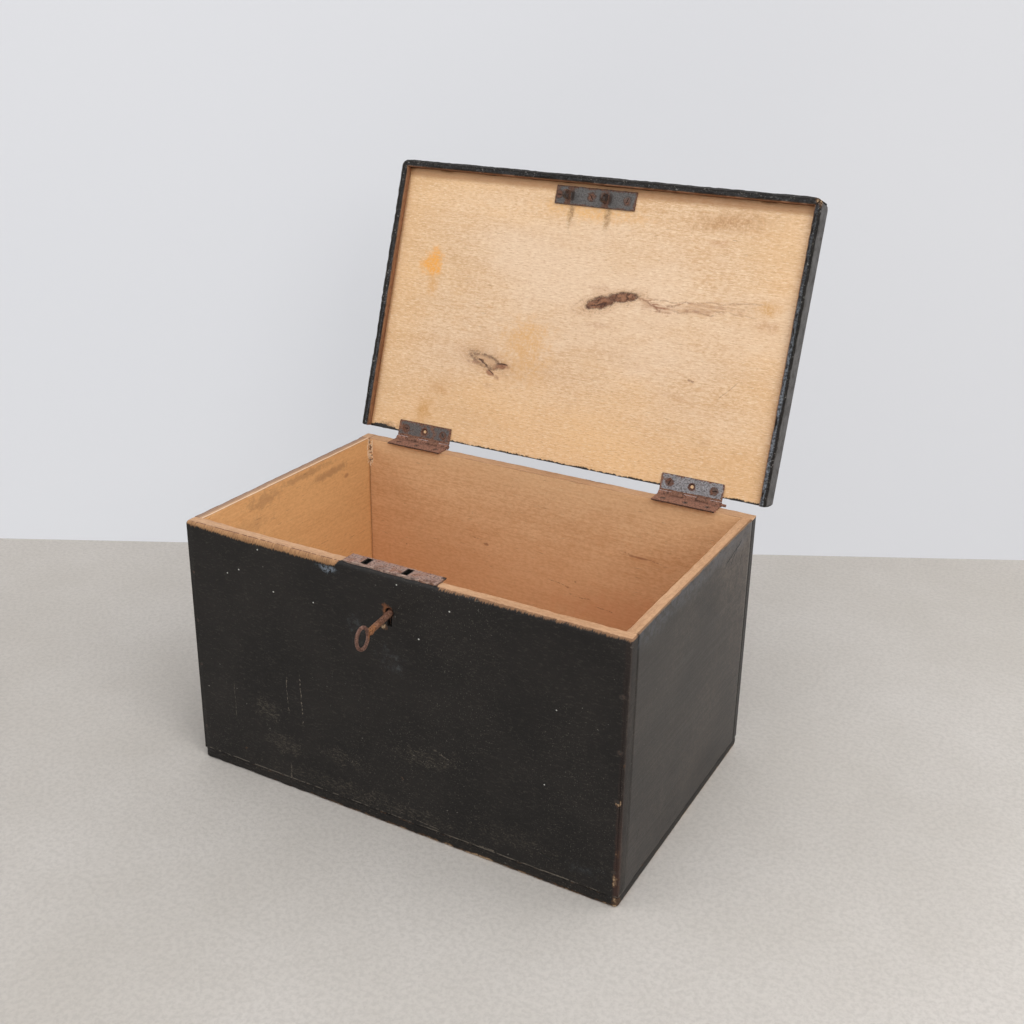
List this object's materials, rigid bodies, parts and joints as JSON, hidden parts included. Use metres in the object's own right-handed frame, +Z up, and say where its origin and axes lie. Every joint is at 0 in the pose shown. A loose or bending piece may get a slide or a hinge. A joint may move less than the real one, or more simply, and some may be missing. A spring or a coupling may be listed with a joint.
{
  "type": "storage chest",
  "caption": "Rectangular wooden storage chest with worn black paint outside and bare wood inside, its hinged lipped lid open, with an iron lock and a ring-bowed key.",
  "frame": {"origin": "on the floor plane, under the middle of the case's footprint", "axes": "+X to the right along the front as seen from the front, +Y to the back, +Z up"},
  "size_m": [0.498, 0.4778, 0.5768],
  "materials": {
    "painted_wood": "dull black paint outside, worn at the edges; bare oiled softwood inside",
    "nail_iron": "dark wrought nail heads, painted over outside",
    "hinge_iron": "dark oxidised iron with brown rust",
    "screw_iron": "dark oxidised slotted heads",
    "lock_iron": "thin oxidised sheet iron, blue-grey with brown rust at the edges",
    "spring_steel": "blued spring strip",
    "key_iron": "orange-brown rust all over, smoother where it is handled"
  },
  "bodies": {
    "case": {"bottom_board": "painted_wood", "front_board": "painted_wood", "back_board": "painted_wood", "left_side_board": "painted_wood", "right_side_board": "painted_wood", "front_corner_nails": "nail_iron", "back_corner_nails": "nail_iron", "bottom_nails": "nail_iron", "left_box_leaf": "hinge_iron", "right_box_leaf": "hinge_iron", "left_hinge_pin": "hinge_iron", "right_hinge_pin": "hinge_iron", "box_leaf_screws": "screw_iron", "lock_screws": "screw_iron", "lock_plate": "lock_iron", "lock_cap": "lock_iron", "cap_rivets": "lock_iron", "bolt_stumps": "lock_iron", "drill_pin": "lock_iron", "bolt_spring": "spring_steel"},
    "lid": {"lid_board": "painted_wood", "lid_front_lip": "painted_wood", "lid_left_lip": "painted_wood", "lid_right_lip": "painted_wood", "lip_nails": "nail_iron", "left_lid_leaf": "hinge_iron", "right_lid_leaf": "hinge_iron", "lid_leaf_screws": "screw_iron", "link_plate": "lock_iron", "link_staples": "lock_iron", "link_plate_screws": "screw_iron"},
    "bolt": {"lock_bolt": "lock_iron"},
    "key": {"key": "key_iron"}
  },
  "joints": [
    {"name": "lid_hinge", "type": "hinge", "parent": "case", "child": "lid", "pos_m": [0, 0.1567, 0.27155], "axis": [1, 0, 0], "range_deg": [0, 108]},
    {"name": "key_turn", "type": "hinge", "parent": "case", "child": "key", "pos_m": [0.001, -0.1535, 0.23188], "axis": [0, 0.9903, 0.1392], "range_deg": [0, 360]},
    {"name": "bolt_slide", "type": "slide", "parent": "case", "child": "bolt", "axis": [1, 0, 0], "range_m": [0, 0.008]}
  ],
  "couplings": [
    {"joint": "bolt_slide", "follows": "key_turn", "m_per_rad": 0.0012732}
  ]
}
